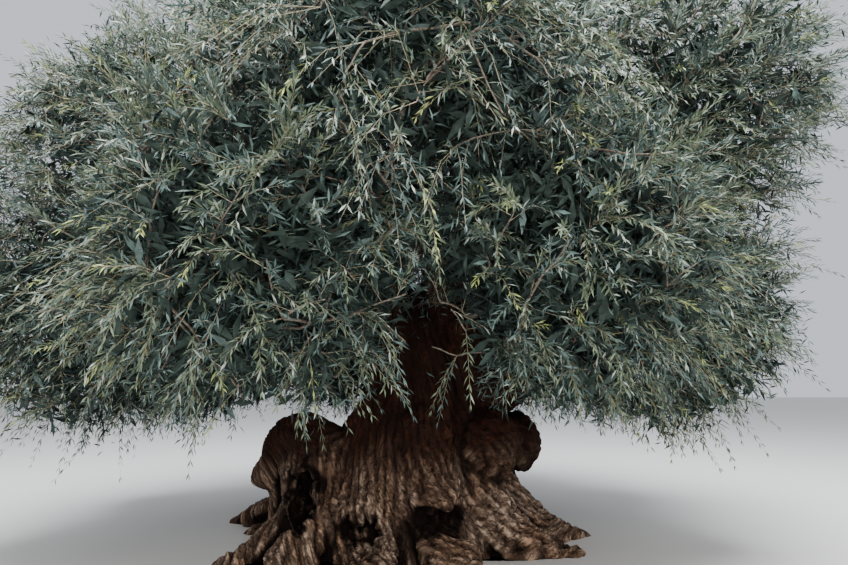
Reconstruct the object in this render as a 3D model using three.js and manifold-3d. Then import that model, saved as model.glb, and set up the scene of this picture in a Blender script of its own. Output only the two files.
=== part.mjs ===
// A very old olive tree: a squat, twisted trunk on flared roots, boughs that fork from its head,
// and a broad crown of foliage masses that hangs low all round and leaves an arch at the front.
// Millimetres, +Z up. The origin is the centre of the flat cut under the trunk, at ground level.
// The front is -Y. Azimuths are in degrees round the tree: 0 is the front and 90 is the right, +X.
import * as THREE from "three";
import { mergeVertices } from "three/addons/utils/BufferGeometryUtils.js";
import Module from "manifold-3d";

const wasm = await Module();
wasm.setup();

const CLEARANCE = 0.3; // left between neighbouring solids
const FINEST = 1 / 32; // corners are snapped to this grid, so that no sliver is thinner

// Trunk
const HEAD_HEIGHT = 2400; // where the trunk forks
const HEAD_LEAN = 420; // the head stands this far right of the foot
const NECK_RADIUS = 470; // ring on which the sinews climb, at the head
const FOOT_RIGHT = 1950; // reach of the root flare, right and left
const FOOT_FRONT = 1780; // reach of the root flare, front and back
const SUNK = 90; // solids start this far below the ground, before the flat cut
const SINEWS = 11;
const SINEW_TWIST = 42; // turn of a sinew from its foot to the head
const SINEW_THICKNESS = [120, 215, 300, 325, 290, 255];
const CORE_RADII = [1240, 1080, 800, 620, 690, 600];
const BACK_BURLS = 5;

// Boughs
const BOUGH_FOOT = 250; // radius where a main bough leaves the trunk
const BOUGH_TIP = 92;
const BRANCH_SHARE = 0.74; // radius of a side bough, as a share of its parent's there
const BRANCH_TIP = 66;
const BOUGH_SIDES = 7;
const BOUGH_RINGS = 7;

// Foliage: each mass as its azimuth, distance out, height, half width and half height
const CROWN = {
  middle: [
    [3, 3060, 4130, 1630, 1570],
    [59, 3270, 4490, 1660, 1420],
    [103, 3250, 4450, 1540, 1370],
    [151, 3060, 4440, 1710, 1450],
    [205, 2840, 4180, 1600, 1350],
    [257, 2690, 4240, 1600, 1430],
    [299, 2790, 4170, 1670, 1370],
  ],
  low: [
    [27, 3050, 2640, 1400, 1340],
    [68, 2950, 2400, 1400, 1330],
    [113, 2950, 2450, 1340, 1270],
    [156, 3020, 2310, 1470, 1290],
    [203, 3200, 2490, 1390, 1360],
    [248, 3260, 2330, 1460, 1290],
    [292, 3340, 2480, 1500, 1480],
    [341, 3190, 2620, 1420, 1400],
  ],
  top: [
    [37, 1560, 5380, 1500, 1360],
    [129, 1600, 5560, 1430, 1310],
    [217, 1510, 5360, 1520, 1400],
    [310, 1610, 5530, 1410, 1330],
    [0, 150, 5900, 1250, 1300],
  ],
};
const FIRST_SEED = 1024;
const KEEP_OWN = 0.05; // a mass stays this much nearer its own middle than its neighbours'
const CORE_SHARE = 0.75; // size of the dense inner part of a mass
const CORE_UNEVEN = 0.2;
const SPRAYS = 19; // leaf-bearing twig ends on a mass
const FEWER_SPRAYS = {}; // masses that grow this many fewer
const SPRAY_SHELL = 0.74; // twig ends lie inside this share of the mass, and leaves reach its edge
const LEAF_LIMIT = 1.07; // how far a leaf tip may go, as a share of the mass
const LEAF_LENGTH = 470; // one leaf here stands for a spray
const LEAF_WIDTH = 125;
const LEAF_THICKNESS = 16;
const TWIG_RADIUS = 17;
const BALANCE = 0.35; // how strongly a twig prefers the short way back to the stem

const BARK = new THREE.MeshStandardMaterial({ color: 0x6b5240, roughness: 0.95, metalness: 0 });
const FOLIAGE = new THREE.MeshStandardMaterial({ color: 0x66785a, roughness: 0.8, metalness: 0 });

function around(azimuth, radius, height) {
  const turn = THREE.MathUtils.degToRad(azimuth);
  return new THREE.Vector3(radius * Math.sin(turn), -radius * Math.cos(turn), height);
}

// A repeatable stream of numbers from 0 to 1.
function seeded(seed) {
  let state = seed >>> 0;
  return () => {
    state = (state + 0x6d2b79f5) >>> 0;
    let mixed = state;
    mixed = Math.imul(mixed ^ (mixed >>> 15), mixed | 1);
    mixed ^= mixed + Math.imul(mixed ^ (mixed >>> 7), mixed | 61);
    return ((mixed ^ (mixed >>> 14)) >>> 0) / 4294967296;
  };
}

// A smooth value along evenly spaced stops, for t from 0 to 1.
function along(stops) {
  return (t) => {
    const place = Math.min(t, 1) * (stops.length - 1);
    const index = Math.min(Math.floor(place), stops.length - 2);
    const share = place - index;
    const ease = share * share * (3 - 2 * share);
    return stops[index] + (stops[index + 1] - stops[index]) * ease;
  };
}

function solidOf(geometry) {
  const bare = new THREE.BufferGeometry();
  bare.setAttribute("position", geometry.getAttribute("position"));
  bare.setIndex(geometry.index);
  const merged = mergeVertices(bare, 1e-3);
  return new wasm.Manifold(
    new wasm.Mesh({
      numProp: 3,
      vertProperties: new Float32Array(merged.attributes.position.array),
      triVerts: new Uint32Array(merged.index.array),
    }),
  );
}

// A closed limb round a curve, with a flat end at each end.
function limb(curve, radiusAt, sides, rings, grow = 0) {
  const { normals, binormals } = curve.computeFrenetFrames(rings);
  const position = [];
  const index = [];
  for (let ring = 0; ring <= rings; ring++) {
    const share = ring / rings;
    const end = (ring === rings) - (ring === 0);
    const centre = curve.getPointAt(share).addScaledVector(curve.getTangentAt(share), grow * end);
    const reach = radiusAt(share) + grow;
    for (let side = 0; side < sides; side++) {
      const turn = (2 * Math.PI * side) / sides;
      const rim = centre
        .clone()
        .addScaledVector(normals[ring], reach * Math.cos(turn))
        .addScaledVector(binormals[ring], reach * Math.sin(turn));
      position.push(rim.x, rim.y, rim.z);
    }
  }
  for (let ring = 0; ring < rings; ring++) {
    for (let side = 0; side < sides; side++) {
      const near = ring * sides + side;
      const next = ring * sides + ((side + 1) % sides);
      index.push(near, next, next + sides, near, next + sides, near + sides);
    }
  }
  const last = rings * sides;
  for (let side = 1; side < sides - 1; side++) {
    index.push(0, side + 1, side, last, last + side, last + side + 1);
  }
  const geometry = new THREE.BufferGeometry();
  geometry.setAttribute("position", new THREE.Float32BufferAttribute(position, 3));
  geometry.setIndex(index);
  return solidOf(geometry);
}

function lump(centre, radii, grow = 0) {
  const geometry = new THREE.IcosahedronGeometry(1, 1);
  geometry.scale(radii.x + grow, radii.y + grow, radii.z + grow);
  geometry.translate(centre.x, centre.y, centre.z);
  return solidOf(geometry);
}

function joined(solids) {
  return solids.reduce((whole, next) => whole.add(next));
}

function largestBody(solid) {
  return solid.decompose().reduce((best, body) => (body.volume() > best.volume() ? body : best));
}

// The line up the middle of the trunk, which leans to the right and stands up straight again.
function trunkMiddle(height) {
  const share = THREE.MathUtils.smoothstep(height, 0, 0.75 * HEAD_HEIGHT);
  return new THREE.Vector3(HEAD_LEAN * share, 40, height);
}

function heartwood(grow) {
  const heights = [-SUNK, 500, 1000, 1500, 2000, HEAD_HEIGHT + 60];
  const curve = new THREE.CatmullRomCurve3(heights.map(trunkMiddle));
  return limb(curve, along(CORE_RADII), 11, 6, grow);
}

// One strand of the trunk, from a root tip on the ground, round and up to the head.
function sinew(number, grow) {
  const draw = seeded(100 + number);
  const azimuth = (number * 360) / SINEWS + 16 * (draw() - 0.5);
  const turn = THREE.MathUtils.degToRad(azimuth);
  const foot = Math.hypot(FOOT_RIGHT * Math.sin(turn), FOOT_FRONT * Math.cos(turn)) * (0.86 + 0.26 * draw());
  const girth = 0.86 + 0.3 * draw();
  const points = [];
  for (let step = 0; step <= 6; step++) {
    const rise = step / 6;
    const height = (HEAD_HEIGHT + SUNK) * rise ** 1.45 - SUNK;
    const radius = NECK_RADIUS + (foot - NECK_RADIUS) * (1 - rise) ** 2.4;
    const middle = trunkMiddle(height);
    points.push(around(azimuth - SINEW_TWIST * rise, radius, 0).add(middle));
  }
  const thickness = along(SINEW_THICKNESS);
  return limb(new THREE.CatmullRomCurve3(points), (t) => girth * thickness(t), 7, 8, grow);
}

// The low left shoulder of the trunk, which climbs, turns over and hangs as a knuckle.
function shoulder(grow) {
  const curve = new THREE.CatmullRomCurve3([
    new THREE.Vector3(-500, -200, -SUNK),
    new THREE.Vector3(-800, -190, 640),
    new THREE.Vector3(-1260, 20, 1110),
    new THREE.Vector3(-1640, 60, 720),
  ]);
  return limb(curve, along([620, 590, 340, 150]), 10, 8, grow);
}

// A thin strand that drops from the knuckle, and the roots that run out beyond it.
function leftRoots(grow) {
  const knuckle = new THREE.Vector3(-1500, 110, 950);
  const strand = new THREE.CatmullRomCurve3([
    knuckle,
    new THREE.Vector3(-1490, 40, 470),
    new THREE.Vector3(-1420, -20, -SUNK),
  ]);
  const roots = [limb(strand, along([120, 80, 110]), 7, 5, grow)];
  for (let number = 0; number < 3; number++) {
    const azimuth = -104 - 14 * number;
    const curve = new THREE.CatmullRomCurve3([
      around(azimuth, 1000, 420),
      around(azimuth - 4, 1650, 260 - 40 * number),
      around(azimuth - 9, 2420 - 130 * number, -30),
    ]);
    roots.push(limb(curve, along([240, 150, 70]), 7, 5, grow));
  }
  return joined(roots);
}

const BURLS = [
  { at: new THREE.Vector3(930, -640, 1120), size: 330 },
  { at: new THREE.Vector3(1290, 20, 1080), size: 300 },
  { at: new THREE.Vector3(1090, -60, 1780), size: 330 },
  { at: new THREE.Vector3(240, -640, 1190), size: 340 },
];

function burls(grow) {
  const draw = seeded(7);
  const solids = BURLS.map(({ at, size }) => lump(at, new THREE.Vector3(size, size, size * 1.1), grow));
  for (let number = 0; number < BACK_BURLS; number++) {
    const height = 700 + 1100 * draw();
    const azimuth = 110 + (150 * (number + draw())) / BACK_BURLS;
    const size = 250 + 110 * draw();
    const radius = 1020 - 0.22 * height;
    const centre = around(azimuth, radius, 0).add(trunkMiddle(height));
    solids.push(lump(centre, new THREE.Vector3(size, size, size * 1.15), grow));
  }
  return joined(solids);
}

// Dark mouths between the roots at the front, as half width, depth and half height.
const CAVES = [
  { at: new THREE.Vector3(-420, -1330, 330), size: new THREE.Vector3(190, 420, 180) },
  { at: new THREE.Vector3(480, -1330, 450), size: new THREE.Vector3(300, 400, 130) },
  { at: new THREE.Vector3(-1060, -680, 510), size: new THREE.Vector3(170, 400, 370) },
  { at: new THREE.Vector3(900, -1520, 160), size: new THREE.Vector3(150, 330, 190) },
];

function wholeTrunk(grow = 0) {
  const strands = Array.from({ length: SINEWS }, (_, number) => sinew(number, grow));
  return joined([heartwood(grow), ...strands, shoulder(grow), leftRoots(grow), burls(grow)]);
}

function trunk() {
  const below = new THREE.BoxGeometry(9000, 9000, 1000);
  below.translate(0, 0, -500);
  const hollows = CAVES.map(({ at, size }) => lump(at, size));
  return wholeTrunk().subtract(joined([solidOf(below), ...hollows]));
}

// The crown's masses, tier by tier. Each is an ellipsoid that shares its border with its neighbours.
const MASSES = Object.entries(CROWN).flatMap(([tier, rows]) =>
  rows.map(([azimuth, ring, height, width, rise], number) => ({
    name: `foliage_${tier}_${number + 1}`,
    azimuth,
    centre: around(azimuth, ring, height),
    radii: new THREE.Vector3(width, width, rise),
  })),
);
MASSES.forEach((mass, index) => (mass.seed = FIRST_SEED + 37 * index));
const HEART = new THREE.Vector3(200, 0, 3300); // the crown's leafless middle

function nearness(mass, point) {
  return point.clone().sub(mass.centre).divide(mass.radii).length();
}

// True where a point belongs to this mass and to no other.
function isOwn(mass, point, limit = 1) {
  const own = nearness(mass, point);
  if (own > limit) return false;
  return MASSES.every((other) => other === mass || nearness(other, point) > own + KEEP_OWN);
}

function cellReach(mass, direction) {
  const step = direction.clone().multiply(mass.radii).multiplyScalar(0.02);
  const point = mass.centre.clone();
  let reach = 0;
  while (reach < 1 && isOwn(mass, point)) {
    point.add(step);
    reach += 0.02;
  }
  return Math.max(0, reach - 0.02);
}

// Where a mass's bough ends: on the side of the mass that looks at the head of the trunk.
function entry(mass) {
  const low = mass.name.startsWith("foliage_low");
  const aim = low ? mass.centre.clone().multiplyScalar(0.45).setZ(mass.centre.z + 700) : HEART.clone();
  const direction = aim.sub(mass.centre).divide(mass.radii).normalize();
  const reach = Math.min(0.86, cellReach(mass, direction));
  return mass.centre.clone().addScaledVector(direction.multiply(mass.radii), reach);
}

function mainBough(mass) {
  const start = around(mass.azimuth, 330, HEAD_HEIGHT - 330).add(trunkMiddle(HEAD_HEIGHT).setZ(0));
  const end = entry(mass);
  const rise = start.clone().add(around(mass.azimuth + 12, 330, 800));
  const arrive = end.clone().add(mass.centre.clone().sub(end).multiplyScalar(-0.55)).add(new THREE.Vector3(0, 0, -120));
  const curve = new THREE.CubicBezierCurve3(start, rise, arrive, end);
  return { curve, radiusAt: (t) => BOUGH_FOOT + (BOUGH_TIP - BOUGH_FOOT) * t ** 0.8 };
}

// A side bough leaves its parent bough and bends over to its own mass.
function sideBough(mass, parent, share) {
  const low = mass.name.startsWith("foliage_low");
  const start = parent.curve.getPointAt(share);
  const leaving = parent.curve.getTangentAt(share);
  const end = entry(mass);
  const span = start.distanceTo(end);
  const first = start.clone().addScaledVector(leaving, span * 0.25).lerp(end, 0.18);
  first.z += low ? 160 : 0;
  const last = end.clone().addScaledVector(mass.centre.clone().sub(end).normalize(), -span * 0.3);
  const radius = parent.radiusAt(share) * BRANCH_SHARE;
  const curve = new THREE.CubicBezierCurve3(start, first, last, end);
  return { curve, radiusAt: (t) => radius + (BRANCH_TIP - radius) * t ** 0.8 };
}

function angleBetween(a, b) {
  return Math.abs(((a - b + 540) % 360) - 180);
}

// Every bough as a curve and a radius, each after the one that it grows from.
function boughs() {
  const mains = MASSES.filter((mass) => mass.name.startsWith("foliage_middle"));
  const made = mains.map((mass) => ({ mass, parent: null, children: 0, ...mainBough(mass) }));
  for (const mass of MASSES) {
    if (mains.includes(mass)) continue;
    const low = mass.name.startsWith("foliage_low");
    const parents = made.filter((bough) => bough.parent === null);
    const parent = parents.reduce((best, bough) => {
      const cost = (b) => angleBetween(b.mass.azimuth, mass.azimuth) + 25 * b.children;
      return cost(bough) < cost(best) ? bough : best;
    });
    const share = (low ? 0.42 : 0.55) + 0.13 * parent.children;
    parent.children += 1;
    made.push({ mass, parent, children: 0, ...sideBough(mass, parent, share) });
  }
  return made;
}

// Evenly scattered points in a mass, the same ones first however many are asked for.
function sprayPoints(mass, count) {
  const golden = 1.2207440846057596;
  const outward = mass.centre.clone().sub(HEART).normalize();
  const points = [mass.centre.clone().addScaledVector(outward.clone().multiply(mass.radii), SPRAY_SHELL)];
  for (let draw = 1; points.length < count && draw < 60 * count; draw++) {
    const [up, turn, depth] = [1, 2, 3].map((power) => (0.5 + mass.seed / 97 + draw / golden ** power) % 1);
    const across = Math.sqrt(1 - (1 - 2 * up) ** 2);
    const angle = 2 * Math.PI * turn;
    const direction = new THREE.Vector3(across * Math.cos(angle), across * Math.sin(angle), 1 - 2 * up);
    const reach = Math.cbrt(0.3 + 0.7 * depth);
    const point = mass.centre.clone().addScaledVector(direction.clone().multiply(mass.radii), reach * SPRAY_SHELL);
    const facing = point.clone().sub(mass.centre).normalize().dot(outward);
    if (facing > -0.35 && isOwn(mass, point)) points.push(point);
  }
  return points;
}

// Joins each point to the twig that costs least: the way there, and a share of the way back.
function growTwigs(foot, middle, points) {
  const nodes = [
    { at: foot, parent: -1, way: 0 },
    { at: middle, parent: 0, way: foot.distanceTo(middle) },
  ];
  const order = [...points].sort((a, b) => a.distanceTo(foot) - b.distanceTo(foot));
  for (const at of order) {
    let parent = 0;
    let least = Infinity;
    nodes.forEach((node, index) => {
      const cost = node.at.distanceTo(at) + BALANCE * node.way;
      if (cost < least) [parent, least] = [index, cost];
    });
    nodes.push({ at, parent, way: nodes[parent].way + nodes[parent].at.distanceTo(at) });
  }
  return nodes;
}

// True if a point keeps clear of every limb by the given margin.
function isClear(point, limbs, margin) {
  return limbs.every(({ samples }) => samples.every(({ at, radius }) => at.distanceTo(point) > radius + margin));
}

function leaf(root, direction, side) {
  const across = new THREE.Vector3().crossVectors(direction, side).normalize();
  const flat = new THREE.Vector3().crossVectors(across, direction).normalize();
  const belly = root.clone().addScaledVector(direction, 0.45 * LEAF_LENGTH);
  const corners = [
    root,
    belly.clone().addScaledVector(across, LEAF_WIDTH / 2),
    belly.clone().addScaledVector(flat, LEAF_THICKNESS / 2),
    belly.clone().addScaledVector(across, -LEAF_WIDTH / 2),
    belly.clone().addScaledVector(flat, -LEAF_THICKNESS / 2),
    root.clone().addScaledVector(direction, LEAF_LENGTH),
  ];
  const index = [0, 2, 1, 0, 3, 2, 0, 4, 3, 0, 1, 4, 5, 1, 2, 5, 2, 3, 5, 3, 4, 5, 4, 1];
  const geometry = new THREE.BufferGeometry();
  geometry.setAttribute("position", new THREE.Float32BufferAttribute(corners.flatMap((c) => c.toArray()), 3));
  geometry.setIndex(index);
  return { corners, solid: solidOf(geometry) };
}

// The dense inner part of a mass, a lumpy ball that keeps inside the mass's own space.
function massCore(mass) {
  const geometry = mergeVertices(new THREE.IcosahedronGeometry(1, 1).deleteAttribute("uv").deleteAttribute("normal"));
  const position = geometry.getAttribute("position");
  const vertex = new THREE.Vector3();
  const draw = seeded(mass.seed);
  for (let corner = 0; corner < position.count; corner++) {
    vertex.fromBufferAttribute(position, corner).normalize();
    const reach = (CORE_SHARE + CORE_UNEVEN * (draw() - 0.5)) * cellReach(mass, vertex);
    vertex.multiply(mass.radii).multiplyScalar(reach).add(mass.centre);
    position.setXYZ(corner, vertex.x, vertex.y, vertex.z);
  }
  return solidOf(geometry);
}

// Each further attempt grows one spray fewer, with other leaves.
function foliage(mass, bough, limbs, attempt) {
  const fewer = attempt + (FEWER_SPRAYS[mass.name] ?? 0);
  const foot = bough.curve.getPointAt(1);
  const inward = mass.centre.clone().sub(foot).normalize();
  foot.addScaledVector(bough.curve.getTangentAt(1), CLEARANCE);
  const stem = new THREE.CatmullRomCurve3([
    foot,
    foot.clone().addScaledVector(bough.curve.getTangentAt(1), 60),
    foot.clone().addScaledVector(inward, foot.distanceTo(mass.centre)),
  ]);
  const stemRadius = bough.radiusAt(1);
  const solids = [massCore(mass), limb(stem, along([stemRadius, 0.6 * stemRadius]), 6, 3)];
  const nodes = growTwigs(foot, mass.centre, sprayPoints(mass, SPRAYS - fewer));
  const draw = seeded(mass.seed + fewer);
  nodes.forEach((node, number) => {
    if (number < 2) return;
    const parent = nodes[node.parent].at;
    const direction = node.at.clone().sub(parent).normalize();
    if (!isClear(node.at, limbs, 90)) return;
    const end = node.at.clone().addScaledVector(direction, TWIG_RADIUS);
    const start = parent.clone();
    solids.push(limb(new THREE.LineCurve3(start, end), along([1.7 * TWIG_RADIUS, TWIG_RADIUS]), 3, 1));
    const outward = node.at.clone().sub(mass.centre).divide(mass.radii).normalize();
    const leaves = nearness(mass, node.at) > 0.55 ? 2 : 1;
    for (let number = 0; number < leaves; number++) {
      const spread = new THREE.Vector3(draw() - 0.5, draw() - 0.5, draw() - 0.5).multiplyScalar(number ? 1.3 : 0.4);
      const way = outward.clone().add(spread).normalize();
      const side = new THREE.Vector3(draw() - 0.5, draw() - 0.5, 1).normalize();
      const made = leaf(node.at.clone().addScaledVector(direction, -0.2 * TWIG_RADIUS), way, side);
      const fits = made.corners.every((c) => isOwn(mass, c, LEAF_LIMIT) && isClear(c, limbs, 40));
      if (fits) solids.push(made.solid);
    }
  });
  return joined(solids);
}

// The whole node as one closed mesh on a fine grid, or null where the surface pinches on itself.
// Scraps and sealed hollows that joining left are dropped.
function geometryOf(solid) {
  const made = largestBody(solid).getMesh();
  const index = new Map();
  const position = [];
  const corners = Array.from({ length: made.numVert }, (_, corner) => {
    const snapped = [...made.position(corner)].map((value) => Math.round(value / FINEST));
    const key = snapped.join();
    if (!index.has(key)) {
      index.set(key, index.size);
      position.push(...snapped.map((value) => value * FINEST));
    }
    return index.get(key);
  });
  const faces = [];
  const edges = new Set();
  for (let face = 0; face < made.numTri; face++) {
    const [a, b, c] = [0, 1, 2].map((corner) => corners[made.triVerts[3 * face + corner]]);
    if (a === b || b === c || c === a) continue;
    faces.push(a, b, c);
    edges.add(`${a} ${b}`).add(`${b} ${c}`).add(`${c} ${a}`);
  }
  if (edges.size < faces.length) return null;
  const geometry = new THREE.BufferGeometry();
  geometry.setAttribute("position", new THREE.Float32BufferAttribute(position, 3));
  geometry.setIndex(faces);
  return geometry;
}

// Calls make(0), make(1) and so on, until a node comes out clean.
function meshOf(name, material, make) {
  for (let attempt = 0; attempt < 5; attempt++) {
    const first = geometryOf(make(attempt));
    const geometry = first && geometryOf(solidOf(first));
    if (!geometry) continue;
    geometry.computeVertexNormals();
    const mesh = new THREE.Mesh(geometry, material);
    mesh.name = name;
    return mesh;
  }
  throw new Error(`${name} pinches on itself`);
}

const tree = new THREE.Group();
tree.add(meshOf("trunk", BARK, trunk));

const limbs = boughs();
for (const bough of limbs) {
  bough.samples = Array.from({ length: 25 }, (_, step) => ({
    at: bough.curve.getPointAt(step / 24),
    radius: bough.radiusAt(step / 24),
  }));
  bough.grown = limb(bough.curve, bough.radiusAt, BOUGH_SIDES, BOUGH_RINGS, CLEARANCE);
}
const grownTrunk = wholeTrunk(CLEARANCE);
limbs.forEach((bough, number) => {
  const earlier = limbs.slice(0, number).map((other) => other.grown);
  const whole = limb(bough.curve, bough.radiusAt, BOUGH_SIDES, BOUGH_RINGS);
  const cut = () => whole.subtract(joined([grownTrunk, ...earlier]));
  tree.add(meshOf(bough.mass.name.replace("foliage", "bough"), BARK, cut));
});

const grownBoughs = joined(limbs.map((one) => one.grown));
for (const mass of MASSES) {
  const bough = limbs.find((one) => one.mass === mass);
  const others = limbs.filter((one) => one !== bough);
  tree.add(meshOf(mass.name, FOLIAGE, (attempt) => foliage(mass, bough, others, attempt).subtract(grownBoughs)));
}

export default tree;
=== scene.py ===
import itertools
import math

import bmesh
import bpy
import numpy as np
import openvdb
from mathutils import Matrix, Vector
from numpy.linalg import norm


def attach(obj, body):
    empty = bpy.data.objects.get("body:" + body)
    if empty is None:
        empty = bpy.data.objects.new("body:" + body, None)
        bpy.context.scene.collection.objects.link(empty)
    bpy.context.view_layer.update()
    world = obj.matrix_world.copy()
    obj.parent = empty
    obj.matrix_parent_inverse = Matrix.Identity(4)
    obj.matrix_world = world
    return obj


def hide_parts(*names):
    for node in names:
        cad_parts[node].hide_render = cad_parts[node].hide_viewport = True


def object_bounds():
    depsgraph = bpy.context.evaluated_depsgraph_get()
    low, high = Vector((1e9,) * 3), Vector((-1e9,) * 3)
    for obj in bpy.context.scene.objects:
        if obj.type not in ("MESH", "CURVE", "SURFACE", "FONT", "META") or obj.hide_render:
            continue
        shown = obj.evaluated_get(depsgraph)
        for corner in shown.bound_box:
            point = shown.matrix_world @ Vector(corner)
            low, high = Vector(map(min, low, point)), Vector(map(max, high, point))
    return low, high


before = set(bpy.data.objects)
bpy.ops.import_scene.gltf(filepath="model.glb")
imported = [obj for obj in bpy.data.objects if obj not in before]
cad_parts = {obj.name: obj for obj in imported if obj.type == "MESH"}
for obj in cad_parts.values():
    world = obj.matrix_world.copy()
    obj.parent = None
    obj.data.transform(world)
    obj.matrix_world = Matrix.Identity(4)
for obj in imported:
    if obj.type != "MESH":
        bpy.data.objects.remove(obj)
cad_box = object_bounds()


# The trunk of a very old olive. Strands of live wood climb from the roots and wind round a worn core
# to the head, where the boughs fork. Burls have grown between them, and there are mouths under the
# roots. It is one solid with the boughs' first stretch, and its bark is ridged along the strands.
HEAD_HEIGHT = 2.4
HEAD_RIGHT = 0.42  # where the head stands, from the middle of the foot
HEAD_BACK = 0.04
NECK_RADIUS = 0.47
FOOT_RIGHT = 1.95
FOOT_FRONT = 1.78
FLARE = 2.4
FLARE_RISE = 1.45
SUNK = 0.09  # depth below the ground, before the level cut
SINEWS = 11
SINEW_TWIST = 42
SINEW_THICKNESS = [0.120, 0.215, 0.300, 0.325, 0.290, 0.255]
CORE_RADII = [1.24, 1.08, 0.80, 0.62, 0.69, 0.60]
BACK_BURLS = 5
FORK = 0.33  # how far below the head and beside its middle the main boughs start
BOUGH_FOOT = 0.25
BOUGH_TIP = 0.092
BRANCH_SHARE = 0.74  # a branch's thickness where it leaves its bough
BRANCH_TIP = 0.066
TAPER = 0.8
BOUGH_STEPS = 48
VOXEL = 0.022
BLEND = 0.02  # how softly strands run into each other
FIELD_REACH = 0.2
ROPES = 3  # cords of wood that wind round each strand
ROPE_TURN = 75
CORDS = 66  # crests of bark round the trunk
FINE_CORDS = 150
GRAIN_TWIST = 50


def around(azimuth, radius, height):
    """A point at an azimuth in degrees, 0 in front and 90 at the right."""
    turn = math.radians(azimuth)
    return np.array([radius * math.sin(turn), -radius * math.cos(turn), height])


def seeded(seed):
    """A repeatable stream of numbers from 0 to 1, the same as in the part's source."""
    state = seed

    def draw():
        nonlocal state
        state = (state + 0x6D2B79F5) & 0xFFFFFFFF
        mixed = state
        mixed = ((mixed ^ (mixed >> 15)) * (mixed | 1)) & 0xFFFFFFFF
        mixed ^= (mixed + (mixed ^ (mixed >> 7)) * (mixed | 61)) & 0xFFFFFFFF
        return ((mixed ^ (mixed >> 14)) & 0xFFFFFFFF) / 4294967296

    return draw


def smooth(share):
    share = np.clip(share, 0, 1)
    return share * share * (3 - 2 * share)


def along(stops, t):
    """A smooth value along evenly spaced stops, for t from 0 to 1."""
    place = np.clip(t, 0, 1) * (len(stops) - 1)
    index = np.minimum(np.floor(place).astype(int), len(stops) - 2)
    low, high = np.array(stops)[index], np.array(stops)[index + 1]
    return low + (high - low) * smooth(place - index)


def unit(vectors):
    return vectors / np.maximum(norm(vectors, axis=-1, keepdims=True), 1e-9)


def evenly(path):
    """Shares from 0 to 1, one for each point of the path."""
    return np.linspace(0, 1, len(path))


def way_along(path):
    """How far along the path each of its points lies."""
    return np.concatenate([[0], np.cumsum(norm(np.diff(path, axis=0), axis=1))])


def read_path(path, stops, places):
    """Points of the path at the places, where its own points stand at the stops."""
    return np.stack([np.interp(places, stops, path[:, axis]) for axis in range(3)], -1)


def even(path, count):
    """The path as count evenly spaced steps."""
    way = way_along(path)
    return read_path(path, way, np.linspace(0, way[-1], count + 1))


def spline(points, count=24):
    """A smooth line through the points."""
    points = np.array(points, float)
    ends = [2 * points[0] - points[1]], [2 * points[-1] - points[-2]]
    points = np.concatenate([ends[0], points, ends[1]])
    gaps = norm(np.diff(points, axis=0), axis=1) ** 0.5
    pieces = []
    t = np.linspace(0, 1, 17)[:-1, None]
    for number in range(len(points) - 3):
        before, start, end, after = points[number : number + 4]
        gap = gaps[number : number + 3]
        leave = (start - before) / gap[0] - (end - before) / (gap[0] + gap[1]) + (end - start) / gap[1]
        arrive = (end - start) / gap[1] - (after - start) / (gap[1] + gap[2]) + (after - end) / gap[2]
        leave, arrive = leave * gap[1], arrive * gap[1]
        bend = 2 * (start - end) + leave + arrive
        pieces.append(start + leave * t + (3 * (end - start) - 2 * leave - arrive) * t**2 + bend * t**3)
    return even(np.concatenate([*pieces, points[-2:-1]]), count)


def bezier(start, first, last, end):
    t = np.linspace(0, 1, 2 * BOUGH_STEPS + 1)[:, None]
    line = start * (1 - t) ** 3 + 3 * first * t * (1 - t) ** 2 + 3 * last * t**2 * (1 - t) + end * t**3
    return even(line, BOUGH_STEPS)


def trunk_middle(height):
    lean = HEAD_RIGHT * smooth(height / (0.75 * HEAD_HEIGHT))
    return np.stack([lean, np.full_like(lean, HEAD_BACK), height], -1)


def profile(rise, foot):
    """Height and radius of a strand on its way from the foot to the neck."""
    height = (HEAD_HEIGHT + SUNK) * rise**FLARE_RISE - SUNK
    return height, NECK_RADIUS + (foot - NECK_RADIUS) * (1 - rise) ** FLARE


def heartwood():
    heights = np.array([-SUNK, 0.5, 1.0, 1.5, 2.0, HEAD_HEIGHT + 0.06])
    path = spline(trunk_middle(heights))
    return path, along(CORE_RADII, evenly(path))


def sinew(number):
    draw = seeded(100 + number)
    azimuth = number * 360 / SINEWS + 16 * (draw() - 0.5)
    turn = math.radians(azimuth)
    foot = math.hypot(FOOT_RIGHT * math.sin(turn), FOOT_FRONT * math.cos(turn)) * (0.86 + 0.26 * draw())
    girth = 0.86 + 0.3 * draw()
    points = []
    for rise in np.linspace(0, 1, 7):
        height, radius = profile(rise, foot)
        points.append(around(azimuth - SINEW_TWIST * rise, radius, 0) + trunk_middle(np.array(height)))
    path = spline(points, 32)
    return path, girth * along(SINEW_THICKNESS, evenly(path))


def shoulder():
    points = [(-0.5, -0.2, -SUNK), (-0.8, -0.19, 0.64), (-1.26, 0.02, 1.11), (-1.64, 0.06, 0.72)]
    path = spline(points, 32)
    return path, along([0.62, 0.59, 0.34, 0.15], evenly(path))


def left_roots():
    strand = spline([(-1.5, 0.11, 0.95), (-1.49, 0.04, 0.47), (-1.42, -0.02, -SUNK)])
    roots = [(strand, along([0.12, 0.08, 0.11], evenly(strand)))]
    for number in range(3):
        azimuth = -104 - 14 * number
        far = around(azimuth - 9, 2.42 - 0.13 * number, -0.03)
        path = spline([around(azimuth, 1.0, 0.42), around(azimuth - 4, 1.65, 0.26 - 0.04 * number), far])
        roots.append((path, along([0.24, 0.15, 0.07], evenly(path))))
    return roots


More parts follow.
